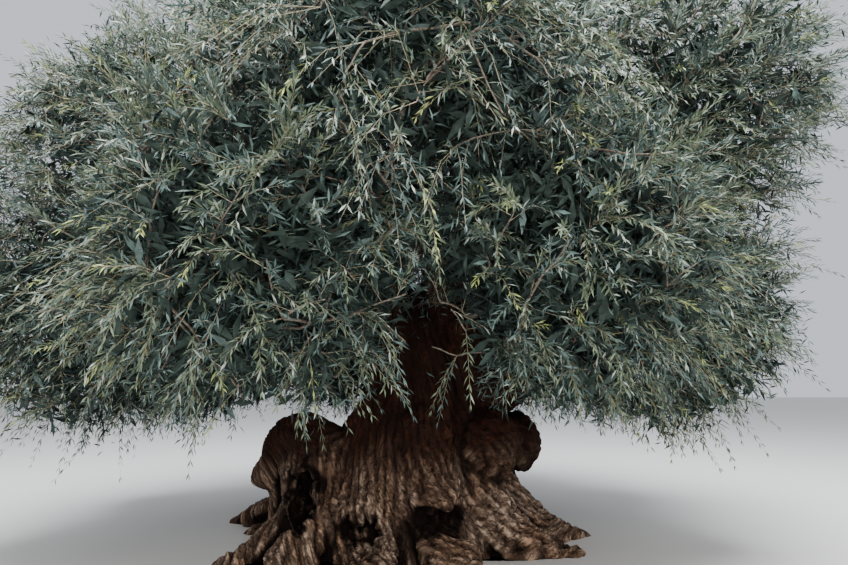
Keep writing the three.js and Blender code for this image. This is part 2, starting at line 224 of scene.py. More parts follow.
def burls():
    """Each burl as a middle and a size."""
    found = [
        ((0.93, -0.64, 1.12), 0.33),
        ((1.29, 0.02, 1.08), 0.30),
        ((1.09, -0.06, 1.78), 0.33),
        ((0.24, -0.64, 1.19), 0.34),
    ]
    draw = seeded(7)
    for number in range(BACK_BURLS):
        height = 0.7 + 1.1 * draw()
        azimuth = 110 + 150 * (number + draw()) / BACK_BURLS
        size = 0.25 + 0.11 * draw()
        found.append((around(azimuth, 1.02 - 0.22 * height, 0) + trunk_middle(np.array(height)), size))
    return found


# The mouths under the roots, each as a middle and half sizes.
CAVES = np.array([
    [(-0.42, -1.33, 0.33), (0.19, 0.42, 0.18)],
    [(0.48, -1.33, 0.45), (0.30, 0.40, 0.13)],
    [(-1.06, -0.68, 0.51), (0.17, 0.40, 0.37)],
    [(0.90, -1.52, 0.16), (0.15, 0.33, 0.19)],
])

# The crown's masses, each with its bough, as in the solids: azimuth, distance out, height, half
# width and half height.
CROWN = {
    "middle": [
        (3, 3.06, 4.13, 1.63, 1.57),
        (59, 3.27, 4.49, 1.66, 1.42),
        (103, 3.25, 4.45, 1.54, 1.37),
        (151, 3.06, 4.44, 1.71, 1.45),
        (205, 2.84, 4.18, 1.60, 1.35),
        (257, 2.69, 4.24, 1.60, 1.43),
        (299, 2.79, 4.17, 1.67, 1.37),
    ],
    "low": [
        (27, 3.05, 2.64, 1.40, 1.34),
        (68, 2.95, 2.40, 1.40, 1.33),
        (113, 2.95, 2.45, 1.34, 1.27),
        (156, 3.02, 2.31, 1.47, 1.29),
        (203, 3.20, 2.49, 1.39, 1.36),
        (248, 3.26, 2.33, 1.46, 1.29),
        (292, 3.34, 2.48, 1.50, 1.48),
        (341, 3.19, 2.62, 1.42, 1.40),
    ],
    "top": [
        (37, 1.56, 5.38, 1.50, 1.36),
        (129, 1.60, 5.56, 1.43, 1.31),
        (217, 1.51, 5.36, 1.52, 1.40),
        (310, 1.61, 5.53, 1.41, 1.33),
        (0, 0.15, 5.90, 1.25, 1.30),
    ],
}
FIRST_SEED = 1024
KEEP_OWN = 0.05
HEART = np.array([0.2, 0.0, 3.3])

MASSES = []
for tier, rows in CROWN.items():
    for number, (azimuth, ring, height, width, rise) in enumerate(rows, start=1):
        MASSES.append({
            "tier": tier,
            "name": f"{tier}_{number}",
            "azimuth": azimuth,
            "centre": around(azimuth, ring, height),
            "radii": np.array([width, width, rise]),
            "seed": FIRST_SEED + 37 * len(MASSES),
        })
CENTRES = np.array([mass["centre"] for mass in MASSES])
RADII = np.array([mass["radii"] for mass in MASSES])


def nearness(points):
    """How far out in each mass the points lie: 0 at its middle and 1 at its edge."""
    return norm((points[..., None, :] - CENTRES) / RADII, axis=-1)


def is_own(points, index):
    """True where a point belongs to that mass and to no other."""
    reach = nearness(points)
    own = reach[..., index]
    return (own <= 1) & (np.delete(reach, index, axis=-1).min(axis=-1) > own + KEEP_OWN)


def in_mass(index, direction, reach):
    """The point of a mass that lies so far out in that direction."""
    return CENTRES[index] + direction * RADII[index] * reach


def entry(index):
    """Where a mass's bough ends: on the side that looks at the head of the trunk."""
    mass = MASSES[index]
    centre = mass["centre"]
    aim = np.array([*(centre[:2] * 0.45), centre[2] + 0.7]) if mass["tier"] == "low" else HEART
    direction = unit((aim - centre) / mass["radii"])
    reach = 0.0
    while reach < 1 and is_own(in_mass(index, direction, reach), index):
        reach += 0.02
    return in_mass(index, direction, min(0.86, max(0, reach - 0.02)))


def tapered(path, foot, tip):
    """The path with radii that run from the foot's to the tip's."""
    return path, foot + (tip - foot) * evenly(path) ** TAPER


def boughs():
    """Every bough as an even path and its radii, in the order of the masses."""
    made = {}
    children = {}
    for index, mass in enumerate(MASSES):
        if mass["tier"] != "middle":
            continue
        end = entry(index)
        start = around(mass["azimuth"], FORK, HEAD_HEIGHT - FORK) + [HEAD_RIGHT, HEAD_BACK, 0]
        rise = start + around(mass["azimuth"] + 12, FORK, 0.8)
        arrive = end - 0.55 * (mass["centre"] - end) + [0, 0, -0.12]
        made[index] = tapered(bezier(start, rise, arrive, end), BOUGH_FOOT, BOUGH_TIP)
        children[index] = 0
    for index, mass in enumerate(MASSES):
        if mass["tier"] == "middle":
            continue
        low = mass["tier"] == "low"

        def cost(parent):
            apart = abs((MASSES[parent]["azimuth"] - mass["azimuth"] + 540) % 360 - 180)
            return apart + 25 * children[parent]

        parent = min(children, key=cost)
        path, radii = made[parent]
        step = ((0.42 if low else 0.55) + 0.13 * children[parent]) * (len(path) - 1)
        children[parent] += 1
        start = read_path(path, range(len(path)), step)
        leaving = unit(path[int(step) + 1] - path[int(step)])
        end = entry(index)
        span = norm(end - start)
        first = (start + leaving * span * 0.25) * 0.82 + end * 0.18 + [0, 0, 0.16 if low else 0]
        last = end - unit(mass["centre"] - end) * span * 0.3
        radius = np.interp(step, range(len(path)), radii) * BRANCH_SHARE
        made[index] = tapered(bezier(start, first, last, end), radius, BRANCH_TIP)
    return [made[index] for index in range(len(MASSES))]


BOUGHS = boughs()
CROTCH = 0.42  # share of a main bough that is one with the trunk


def noise(points, seed):
    """Smooth noise from about -1 to 1, one swing for each unit."""
    cell = np.floor(points).astype(np.int64)
    inside = points - cell
    fade = inside**3 * (inside * (inside * 6 - 15) + 10)
    total = np.zeros(len(points))
    for corner in itertools.product((0, 1), repeat=3):
        key = (cell + corner) @ np.array([73856093, 19349663, 83492791]) + seed * 2654435761
        key = (key ^ (key >> 13)) * 1274126177 & 0xFFFFFFFF
        lean = np.stack([(key >> shift & 0x3FF) / 511.5 - 1 for shift in (2, 11, 20)], -1)
        weight = np.prod(np.where(corner, fade, 1 - fade), axis=1)
        total += weight * ((inside - corner) * lean).sum(1)
    return total * 1.2


def ridges(points, seed):
    """1 on the crests and falling to about 0 in the furrows."""
    return 1 - 2 * np.abs(noise(points, seed))


low_corner = np.array([-2.75, -2.15, -0.12])
high_corner = np.array([2.55, 2.3, 3.45])
cells = np.ceil((high_corner - low_corner) / VOXEL).astype(int)
steps = [low_corner[axis] + VOXEL * np.arange(cells[axis]) for axis in range(3)]
fused = np.zeros(cells, np.float32)


def window(lowest, highest):
    """The field's cells round a box."""
    first = np.clip(np.floor((lowest - FIELD_REACH - low_corner) / VOXEL).astype(int), 0, cells)
    last = np.clip(np.ceil((highest + FIELD_REACH - low_corner) / VOXEL).astype(int) + 1, 0, cells)
    return tuple(slice(a, b) for a, b in zip(first, last))


def places(box):
    """Where the cells of a window are."""
    return np.stack(np.meshgrid(*(steps[axis][box[axis]] for axis in range(3)), indexing="ij"), -1)


def add_strand(path, radii):
    """Fuses a strand of round section into the field, as its distance from every cell near it."""
    box = window(path.min(0) - radii.max(), path.max(0) + radii.max())
    nearest = np.full([s.stop - s.start for s in box], FIELD_REACH, np.float32)
    for a, b, radius_a, radius_b in zip(path[:-1], path[1:], radii[:-1], radii[1:]):
        reach = max(radius_a, radius_b)
        inner = window(np.minimum(a, b) - reach, np.maximum(a, b) + reach)
        if any(s.start >= s.stop for s in inner):
            continue
        here = places(inner) - a
        share = np.clip(here @ (b - a) / np.dot(b - a, b - a), 0, 1)
        away = norm(here - share[..., None] * (b - a), axis=-1)
        away -= radius_a + (radius_b - radius_a) * share
        part = tuple(slice(i.start - o.start, i.stop - o.start) for i, o in zip(inner, box))
        nearest[part] = np.minimum(nearest[part], away)
    fused[box] += np.exp(-nearest / BLEND)


def frames(path):
    """Two directions across the path at each of its points, with no twist along it."""
    ahead = unit(np.gradient(path, axis=0))
    across = np.zeros_like(path)
    first = np.cross(ahead[0], [0.0, 0.0, 1.0])
    if norm(first) < 0.05:
        first = np.cross(ahead[0], [0.0, 1.0, 0.0])
    across[0] = unit(first)
    for number in range(1, len(path)):
        turned = across[number - 1] - ahead[number] * np.dot(across[number - 1], ahead[number])
        across[number] = unit(turned)
    return across, np.cross(ahead, across)


def ropes(path, radii, seed):
    """Thinner cords of wood that wind along the outside of a strand."""
    draw = seeded(seed)
    across, over = frames(path)
    t = evenly(path)
    made = []
    for number in range(ROPES):
        phase = 2 * math.pi * (number + 0.6 * draw()) / ROPES
        turn = phase + math.radians(ROPE_TURN) * (t + 0.22 * np.sin(2 * math.pi * (t * 2.1 + draw())))
        thick = radii * (0.30 + 0.14 * draw()) * (1 + 0.25 * np.sin(2 * math.pi * (t * 2.7 + draw())))
        spoke = across * np.cos(turn)[:, None] + over * np.sin(turn)[:, None]
        made.append((path + spoke * (radii - 0.45 * thick)[:, None], thick))
    return made


add_strand(*heartwood())
strands = [sinew(number) for number in range(SINEWS)] + [shoulder()] + left_roots()
for number, strand in enumerate(strands):
    add_strand(*strand)
    for rope in ropes(*strand, 300 + number):
        add_strand(*rope)
for middle, size in burls():
    add_strand(middle + np.array([[0, 0, 0], [0, 0, 0.02]]), np.array([size, size]))
for mass, (path, radii) in zip(MASSES, BOUGHS):
    if mass["tier"] == "middle":
        count = int(CROTCH * len(path))
        narrowing = 1 - 0.12 * smooth(np.linspace(-1, 1, count))
        add_strand(path[:count], radii[:count] * narrowing)

distance = -BLEND * np.log(np.maximum(fused, 1e-12))
for middle, half in CAVES:
    box = window(middle - half, middle + half)
    here = places(box)
    flat = here.reshape(-1, 3)
    ragged = 0.55 * noise(flat * 4.5, 60) + 0.45 * noise(flat * [11, 11, 7], 61)
    outside = norm((here - middle) / half, axis=-1) - 1.12 + ragged.reshape(here.shape[:3])
    outside = outside * half.min()
    distance[box] = BLEND * np.log(np.exp(distance[box] / BLEND) + np.exp(-outside / BLEND))

grid = openvdb.FloatGrid(FIELD_REACH)
grid.copyFromArray(np.ascontiguousarray(np.minimum(distance, FIELD_REACH)))
corners, quads = grid.convertToQuads(0.0)
corners = corners * VOXEL + low_corner

PROFILE_RISE = np.linspace(0, 1, 160)
PROFILE_HEIGHT, PROFILE_RADIUS = profile(PROFILE_RISE, FOOT_RIGHT)
PROFILE_RADIUS = PROFILE_RADIUS + 0.2
PROFILE_WAY = way_along(np.stack([PROFILE_HEIGHT, PROFILE_RADIUS], 1))


def grain_places(points):
    """The points unrolled along the strands: round the trunk in x and y, and up a strand in z."""
    middle = trunk_middle(points[:, 2])
    out = points[:, :2] - middle[:, :2]
    radius = np.hypot(*out.T)
    apart = (radius[:, None] - PROFILE_RADIUS) ** 2 + (points[:, 2:3] - PROFILE_HEIGHT) ** 2
    near = apart.argmin(1)
    rise = PROFILE_RISE[near]
    turn = np.arctan2(out[:, 0], -out[:, 1]) + np.radians(SINEW_TWIST) * rise
    turn += np.radians(GRAIN_TWIST) * (1 - (1 - PROFILE_WAY[near] / PROFILE_WAY[-1]) ** 2)
    above = np.maximum(points[:, 2] - PROFILE_HEIGHT[-1], 0)
    way = PROFILE_WAY[near] + above
    return np.stack([PROFILE_RADIUS[near] * np.sin(turn), PROFILE_RADIUS[near] * np.cos(turn), way], -1)


def mesh_of(name, vertices, faces):
    """A mesh from arrays, quick enough for hundreds of thousands of faces."""
    mesh = bpy.data.meshes.new(name)
    mesh.vertices.add(len(vertices))
    mesh.vertices.foreach_set("co", vertices.astype(np.float32).ravel())
    mesh.loops.add(faces.size)
    mesh.loops.foreach_set("vertex_index", faces.astype(np.int32).ravel())
    mesh.polygons.add(len(faces))
    mesh.polygons.foreach_set("loop_start", np.arange(0, faces.size, faces.shape[1], dtype=np.int32))
    mesh.update(calc_edges=True)
    return mesh


trunk_mesh = mesh_of("trunk_bark", corners, quads)
sides = np.zeros(corners.size, np.float32)
trunk_mesh.vertex_normals.foreach_get("vector", sides)
sides = sides.reshape(-1, 3)
if (sides * (corners - trunk_middle(corners[:, 2]))).sum() < 0:
    trunk_mesh.flip_normals()
    sides = -sides


def field_at(points):
    """How far outside the wood the points lie, read from the cells round them."""
    place = np.clip((points - low_corner) / VOXEL, 0, np.array(distance.shape) - 1.001)
    cell = place.astype(int)
    inside = place - cell
    total = np.zeros(len(points))
    for corner in itertools.product((0, 1), repeat=3):
        weight = np.prod(np.where(corner, inside, 1 - inside), axis=1)
        total += weight * distance[tuple((cell + corner).T)]
    return np.minimum(total, FIELD_REACH)


def cords_of_wood(count, wander, seed):
    """Crests from 0 to 1 that run along the strands, side by side and wavering."""
    lean = sum(
        share * noise(grain * [pitch, pitch, 0.45 * pitch], seed + pitch) for share, pitch in wander
    )
    phase = np.arctan2(grain[:, 0], grain[:, 1]) * count / 2 + lean * math.pi
    return np.abs(np.sin(phase))


# Cords run along the strands, gnarls lie across them, and both fade out on the boughs above. The
# lifts are the heights of each kind.
CORD_LIFT, FINE_CORD_LIFT = 0.062, 0.024
GNARL_LIFT, KNOB_LIFT, CRINKLE_LIFT = 0.036, 0.034, 0.008
WART_LIFT, WART_RIDGE_LIFT = 0.075, 0.030
grain = grain_places(corners)
swirl = np.stack([noise(corners * 1.9, seed) for seed in (1, 2, 3)], -1)
stretched = (grain + 0.11 * swirl) * [1, 1, 0.22]
furrow = cords_of_wood(CORDS, [(2.4, 1), (1.3, 3), (0.25, 7)], 70)
fine_furrow = cords_of_wood(FINE_CORDS, [(4.5, 1), (2.6, 3), (0.8, 7)], 80)
gnarl = noise(corners * 3.1, 6)
knob = np.maximum(noise(corners * 6.5, 7), 0)
crinkle = ridges(corners * 9.0, 8)
above_head = smooth((corners[:, 2] - HEAD_HEIGHT) / 0.6)
depth = 0.62 + 0.5 * noise(corners * 1.6, 9)
relief = depth * (CORD_LIFT * (furrow - 0.6) + FINE_CORD_LIFT * (fine_furrow - 0.6))
relief += GNARL_LIFT * gnarl + KNOB_LIFT * knob + CRINKLE_LIFT * crinkle
on_burl = np.zeros(len(corners))
for middle, size in burls():
    away = norm(corners - middle, axis=1)
    on_burl = np.maximum(on_burl, smooth((1.35 * size - away) / (0.35 * size)))
wart_ridge = ridges(corners * 12.0, 15)
warty = WART_LIFT * noise(corners * 6.0, 14) + WART_RIDGE_LIFT * wart_ridge
relief = relief * (1 - 0.45 * on_burl) + warty * on_burl
relief *= 1 - 0.75 * above_head
trunk_mesh.vertices.foreach_set("co", (corners + sides * relief[:, None]).ravel())

# Painted shade darkens the bark where wood is near all round and in the furrows, and low crests are
# pale, bleached and painted light.
LOOK_OUT = (0.05, 0.10, 0.18)
# Painted shade: how closely wood shuts in each point, looked at from three distances out.
shut_in = np.zeros(len(corners))
for way in LOOK_OUT:
    shut_in += np.maximum(0, way - field_at(corners + sides * way)) / way / len(LOOK_OUT)
height = 0.62 * furrow + 0.38 * fine_furrow
furrow_dark = smooth((0.52 - height) / 0.42) * (1 - 0.6 * above_head)
furrow_dark = np.maximum(furrow_dark, on_burl * smooth((0.25 - wart_ridge) / 0.5))
hollow = np.clip(smooth(shut_in / 0.42) + 0.85 * furrow_dark, 0, 1)
crest = smooth((height - 0.52) / 0.40) * (1 - hollow)
# Painted shade of the crown: 1 low on the trunk, where crests are pale, and 0 higher up, where the bark
# takes the dark shaded colour.
lit_and_weathered_low = smooth((1.25 - corners[:, 2] + 0.3 * gnarl) / 0.85)


def keep_vectors(mesh, name, values):
    """Stores a vector for each corner, for the material to read."""
    layer = mesh.attributes.new(name, "FLOAT_VECTOR", "POINT")
    layer.data.foreach_set("vector", values.astype(np.float32).ravel())


def cut_level(mesh):
    """Cuts the mesh off flat at the ground and closes the cut."""
    shape = bmesh.new()
    shape.from_mesh(mesh)
    everything = shape.verts[:] + shape.edges[:] + shape.faces[:]
    cut = bmesh.ops.bisect_plane(
        shape, geom=everything, plane_co=(0, 0, 0), plane_no=(0, 0, 1), clear_inner=True, dist=1e-4
    )
    rim = [item for item in cut["geom_cut"] if isinstance(item, bmesh.types.BMEdge)]
    bmesh.ops.triangle_fill(shape, use_beauty=True, edges=rim, normal=(0, 0, -1))
    for corner in shape.verts:
        corner.co.z = max(corner.co.z, 0)
    shape.to_mesh(mesh)
    shape.free()


keep_vectors(trunk_mesh, "grain", stretched)
keep_vectors(trunk_mesh, "shade_and_wear", np.stack([hollow, crest, lit_and_weathered_low], -1))
cut_level(trunk_mesh)


class Finish:
    """A material under construction. Its node method adds a node and returns one of its sockets."""

    def __init__(self, name):
        self.material = bpy.data.materials.new(name)
        self.material.use_nodes = True
        self.tree = self.material.node_tree
        self.surface = self.tree.nodes["Principled BSDF"]

    def node(self, kind, inputs, output=0, **settings):
        made = self.tree.nodes.new("ShaderNode" + kind)
        for name, value in settings.items():
            setattr(made, name, value)
        for name, value in inputs.items():
            self._join(made.inputs[name], value)
        return Wire(self, made.outputs[output])

    def _join(self, socket, value):
        if isinstance(value, Wire):
            self.tree.links.new(value.socket, socket)
        else:
            socket.default_value = value

    def mix(self, share, first, second):
        colours = [value if isinstance(value, Wire) else (*value, 1) for value in (first, second)]
        return self.node("Mix", {0: share, 6: colours[0], 7: colours[1]}, output=2, data_type="RGBA")

    def feed(self, **values):
        for name, value in values.items():
            label = name.replace("_", " ").title().replace("Ior", "IOR")
            self._join(self.surface.inputs[label], value)


class Wire:
    """A socket that calculates like a number."""

    def __init__(self, finish, socket):
        self.finish = finish
        self.socket = socket

    def _math(self, operation, *values):
        return self.finish.node("Math", dict(enumerate(values)), operation=operation)

    def __add__(self, other):
        return self._math("ADD", self, other)

    def __sub__(self, other):
        return self._math("SUBTRACT", self, other)

    def __rsub__(self, other):
        return self._math("SUBTRACT", other, self)

    def __mul__(self, other):
        return self._math("MULTIPLY", self, other)

    def size(self):
        """The value without its sign."""
        return self._math("ABSOLUTE", self)

    def between(self, low, high):
        """0 below low and 1 above high."""
        inputs = {0: self, 1: low, 2: high, 3: 0.0, 4: 1.0}
        return self.finish.node("MapRange", inputs, interpolation_type="SMOOTHSTEP")

    __radd__ = __add__
    __rmul__ = __mul__


def bark_finish(name, depth):
    """Stringy bark: painted shade near black in the furrows, red-brown darkened above as painted shade
    of the crown, and tan on low crests, bleached and painted light.
    """
    finish = Finish(name)
    grain = finish.node("Attribute", {}, output=1, attribute_name="grain")
    shade_and_wear = finish.node("Attribute", {}, output=1, attribute_name="shade_and_wear")
    hollow, crest, lit_and_weathered_low = (finish.node("SeparateXYZ", {0: shade_and_wear}, output=axis) for axis in range(3))
    fibres = finish.node("TexNoise", {"Vector": grain, "Scale": 30.0, "Detail": 7.0, "Roughness": 0.66})
    cords = finish.node("TexNoise", {"Vector": grain, "Scale": 13.0, "Detail": 3.0, "Distortion": 0.6})
    patches = finish.node("TexNoise", {"Vector": grain, "Scale": 2.6, "Detail": 4.0, "Roughness": 0.6})
    cord = 1 - (cords - 0.5).size().between(0.0, 0.11)
    # Painted shade: the upper bark's red-brown, darkened for the shade the crown casts on it.
    shaded = finish.mix(patches.between(0.36, 0.64), (0.022, 0.006, 0.003), (0.056, 0.020, 0.011))
    # Pale tan for low crests, partly bleached bark and partly painted light.
    bleached_and_lit = finish.mix(patches.between(0.36, 0.64), (0.470, 0.292, 0.186), (0.680, 0.508, 0.380))
    colour = finish.mix(lit_and_weathered_low * (0.25 + 0.75 * crest), shaded, bleached_and_lit)
    dim = finish.mix(0.72, colour, (0.014, 0.007, 0.005))
    colour = finish.mix(fibres.between(0.38, 0.62), dim, colour)
    colour = finish.mix(cord * 0.65, colour, (0.020, 0.011, 0.008))
    # Painted shade: near black in the creases and furrows.
    colour = finish.mix(hollow, colour, (0.007, 0.004, 0.003))
    height = fibres * 0.5 + 0.5 * (1 - cord)
    bump = finish.node("Bump", {"Strength": 1.0, "Distance": depth, "Height": height})
    finish.feed(base_color=colour, roughness=0.95 - 0.14 * fibres, normal=bump, specular_ior_level=0.08)
    return finish.material


def placed(name, data):
    """A new object in the scene."""
    made = bpy.data.objects.new(name, data)
    bpy.context.scene.collection.objects.link(made)
    return made


def add_piece(mesh, materials, nodes=(), shares=None):
    """A piece in place of the nodes. Where it has several materials, shares deals them to its faces."""
    for material in materials:
        mesh.materials.append(material)
    if shares is not None:
        mesh.polygons.foreach_set("material_index", shares.astype(np.int32))
    mesh.polygons.foreach_set("use_smooth", [True] * len(mesh.polygons))
    piece = placed(mesh.name, mesh)
    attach(piece, "root")
    if nodes:
        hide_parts(*nodes)
    return piece


add_piece(trunk_mesh, [bark_finish("old_bark", 0.03)], ["trunk"])


# The boughs: tapering limbs that fork from the head and from each other, a little crooked, with bark
# that is fissured along them. Each ends where it enters its mass of foliage.
BOUGH_SIDES = 16
RING_GAP = 0.036
TUBE_START = 0.32  # share of a main bough where its own bark begins, inside the trunk's
FISSURE, LUMP = 0.10, 0.16  # heights of the bark, as shares of the bough's radius
GRAIN_GIRTH, GRAIN_LENGTH = 0.16, 0.3  # how finely the bark's pattern is laid round and along


def bough_shape(index):
    """Corners of a bough's rings, and the grain of the bark at each, with its painted shade and wear."""
    path, radii = BOUGHS[index]
    main = MASSES[index]["tier"] == "middle"
    count = max(12, int(way_along(path)[-1] / RING_GAP))
    share = np.linspace(TUBE_START if main else 0, 1, count + 1)
    stops = evenly(path)
    path, radii = read_path(path, stops, share), np.interp(share, stops, radii)
    crook = np.stack([noise(path * 2.3, 20 + axis) for axis in range(3)], 1)
    path = path + crook * (0.35 * radii * np.sin(np.pi * share) ** 0.7)[:, None]
    if main:
        radii = radii * (0.93 + 0.07 * smooth((share - TUBE_START) / 0.12))
    across, over = frames(path)
    turn = np.linspace(0, 2 * math.pi, BOUGH_SIDES, endpoint=False)
    spoke = across[:, None] * np.cos(turn)[:, None] + over[:, None] * np.sin(turn)[:, None]
    girth = np.stack(np.broadcast_arrays(np.cos(turn), np.sin(turn), 0 * turn), -1) * GRAIN_GIRTH
    grain = girth[None] + way_along(path)[:, None, None] * [0, 0, GRAIN_LENGTH] + index * 1.7
    flat = grain.reshape(-1, 3)
    crest = ridges(flat * 9, 30)
    lift = FISSURE * (crest - 0.5) + LUMP * noise(flat * [3, 3, 5], 31)
    ring = path[:, None] + spoke * (radii[:, None] * (1 + lift.reshape(grain.shape[:2])))[..., None]
    # Painted shade: near black deep in the fissures and a third of the way there on the crests.
    hollow = 0.35 + 0.65 * smooth((0.45 - crest) / 0.9)
    return ring.reshape(-1, 3), flat, np.stack([hollow, 1 - hollow, np.full_like(hollow, 0.15)], -1)


def tube_faces(rings, sides):
    ring = np.arange(rings - 1)[:, None] * sides
    side = np.arange(sides)
    following = (side + 1) % sides
    faces = np.stack([ring + side, ring + following, ring + sides + following, ring + sides + side], -1)
    return faces.reshape(-1, 4)


def joined(parts):
    return tuple(np.concatenate(values) for values in zip(*parts))


def stacked(shapes):
    """The corners and faces of several shapes as those of one."""
    first = np.cumsum([0] + [len(corners) for corners, faces in shapes])
    return joined([(corners, faces + start) for (corners, faces), start in zip(shapes, first)])


bough_parts = [bough_shape(index) for index in range(len(MASSES))]
bough_shapes = [(part[0], tube_faces(len(part[0]) // BOUGH_SIDES, BOUGH_SIDES)) for part in bough_parts]
_, bough_grain, bough_shade_and_wear = joined(bough_parts)
bough_mesh = mesh_of("bough_bark", *stacked(bough_shapes))
keep_vectors(bough_mesh, "grain", bough_grain)
keep_vectors(bough_mesh, "shade_and_wear", bough_shade_and_wear)
bough_nodes = [f"bough_{mass['name']}" for mass in MASSES]
add_piece(bough_mesh, [bark_finish("bough_bark", 0.012)], bough_nodes)


# The twigs: from each bough's tip a stem runs into its mass and forks again and again. Every fork
# is a point scattered in the mass, joined to the twig that costs least to reach.
ANCHORS = 130  # forks of each mass
SPRAY_SHELL = 0.74  # how far out in a mass the outermost forks are
SEAM_FILL = 0.30  # how much further out they are beside another mass
INWARD = -0.35
INSIDE = 0.12  # distance of the forks from the sides of the solids' box
BALANCE = 0.35  # what a long way back to the foot costs a twig
TWIG_TIP = 0.0055
TWIG_SWELL = 0.46
TWIG_STEPS = 3
GOLDEN = 1.2207440846057596  # its powers scatter points evenly in space
ENDS = ("start", "end", "leave", "arrive")
cad_low, cad_high = (np.array(corner) for corner in cad_box)


def in_box(points, margin):
    """True where the points lie in the solids' box, at a distance from its sides."""
    return ((points > cad_low + margin) & (points < cad_high - margin)).all(1)


def beside(points, index):
    """1 next to another mass and 0 well away from all others."""
    return smooth((1.5 - np.delete(nearness(points), index, axis=-1).min(axis=-1)) / 0.4)


def spray_points(index, count):
    """Evenly scattered points in a mass, and further out along the seams between masses."""
    mass = MASSES[index]
    outward = unit(mass["centre"] - HEART)
    draws = np.arange(1, 60 * count)
    up, turn, depth = ((0.5 + mass["seed"] / 97 + draws / GOLDEN**power) % 1 for power in (1, 2, 3))
    across = np.sqrt(1 - (1 - 2 * up) ** 2)
    angle = 2 * math.pi * turn
    direction = np.stack([across * np.cos(angle), across * np.sin(angle), 1 - 2 * up], -1)
    reach = np.cbrt(0.3 + 0.7 * depth) * SPRAY_SHELL
    further = 1 + SEAM_FILL * beside(in_mass(index, direction, reach[:, None]), index)
    points = in_mass(index, direction, (reach * further)[:, None])
    facing = unit(points - mass["centre"]) @ outward
    points = points[(facing > INWARD) & in_box(points, INSIDE) & is_own(points, index)]
    return np.concatenate([[in_mass(index, outward, SPRAY_SHELL)], points[: count - 1]])


def grow_twigs(foot, middle, points):
    """Places and parents of a mass's forks, the foot first."""
    order = points[np.argsort(norm(points - foot, axis=1), kind="stable")]
    count = len(order) + 2
    at = np.zeros((count, 3))
    parent = np.full(count, -1)
    way = np.zeros(count)
    at[0], at[1], parent[1], way[1] = foot, middle, 0, norm(middle - foot)
    for number, point in enumerate(order, start=2):
        apart = norm(at[:number] - point, axis=1)
        best = int((apart + BALANCE * way[:number]).argmin())
        at[number], parent[number], way[number] = point, best, way[best] + apart[best]
    return at, parent


def hermite(edges, t):
    """Points on every twig at the shares t, as an array of twigs by shares."""
    start, end, leave, arrive = (edges[key][:, None] for key in ENDS)
    t = np.asarray(t)[..., None]
    return (
        start * (2 * t**3 - 3 * t**2 + 1)
        + leave * (t**3 - 2 * t**2 + t)
        + end * (3 * t**2 - 2 * t**3)
        + arrive * (t**3 - t**2)
    )


def twig_edges(index):
    """Ends, directions and thicknesses of a mass's twigs, and how many others each one carries."""
    path, radii = BOUGHS[index]
    at, parent = grow_twigs(path[-1], MASSES[index]["centre"], spray_points(index, ANCHORS))
    carried = np.ones(len(at))
    for number in range(len(at) - 1, 0, -1):
        carried[parent[number]] += carried[number]
    straight = at[1:] - at[parent[1:]]
    span = norm(straight, axis=1, keepdims=True)
    own = unit(straight)
    heading = np.concatenate([[unit(path[-1] - path[-2])], own])
    outward = unit((at[1:] - MASSES[index]["centre"]) / RADII[index])
    thick = TWIG_TIP * carried**TWIG_SWELL
    from_thick = np.minimum(thick[parent[1:]], thick[1:] * 1.25)
    from_thick[parent[1:] == 0] = radii[-1] * 0.97
    return {
        "start": at[parent[1:]],
        "end": at[1:],
        "leave": unit(0.55 * heading[parent[1:]] + 0.45 * own) * span,
        "arrive": unit(0.75 * own + 0.35 * outward) * span,
        "from_thick": from_thick,
        "to_thick": thick[1:],
        "carried": carried[1:],
        "mass": np.full(len(straight), index),
    }


twig_parts = [twig_edges(index) for index in range(len(MASSES))]
TWIGS = {key: np.concatenate([part[key] for part in twig_parts]) for key in twig_parts[0]}


def twigs_at(choice):
    """The ends and directions of the chosen twigs."""
    return {key: TWIGS[key][choice] for key in ENDS}


def crossways(ahead):
    """Two directions across each direction of growth."""
    side = np.where(np.abs(ahead[..., 2:]) > 0.9, [1.0, 0.0, 0.0], [0.0, 0.0, 1.0])
    across = unit(np.cross(ahead, side))
    return across, np.cross(ahead, across)


def tubes(paths, radii, sides):
    """Round stems along many paths at once: their corners and faces. Thin ends are left open."""
    count, rings, _ = paths.shape
    across, over = crossways(unit(np.gradient(paths, axis=1)))
    turn = np.linspace(0, 2 * math.pi, sides, endpoint=False)
    spoke = across[:, :, None] * np.cos(turn)[:, None] + over[:, :, None] * np.sin(turn)[:, None]
    corners = paths[:, :, None] + spoke * radii[:, :, None, None]
    faces = tube_faces(rings, sides)[None] + (np.arange(count) * rings * sides)[:, None, None]
    return corners.reshape(-1, 3), faces.reshape(-1, 4)


def twig_finish(name, darker, lighter):
    """Thin bark, nearly smooth, grey-brown on twigs and yellower on this year's shoots."""
    finish = Finish(name)
    place = finish.node("TexCoord", {}, output=3)
    mottle = finish.node("TexNoise", {"Vector": place, "Scale": 42.0, "Detail": 3.0})
    bump = finish.node("Bump", {"Strength": 0.5, "Distance": 0.002, "Height": mottle})
    colour = finish.mix(mottle.between(0.35, 0.65), darker, lighter)
    finish.feed(base_color=colour, roughness=0.88, normal=bump)
    return finish.material


TWIG_BARK = twig_finish("twig_bark", (0.070, 0.048, 0.034), (0.165, 0.140, 0.112))
shares = np.linspace(0, 1, TWIG_STEPS + 1)
twig_paths = hermite(TWIGS, shares)
twig_radii = TWIGS["from_thick"][:, None] * (1 - shares) + TWIGS["to_thick"][:, None] * shares
limbs = TWIGS["carried"] > 6
kinds = ((limbs, 8), (~limbs, 4))
twig_shapes = [tubes(twig_paths[kind], twig_radii[kind], sides) for kind, sides in kinds]
add_piece(mesh_of("twigs", *stacked(twig_shapes)), [TWIG_BARK])


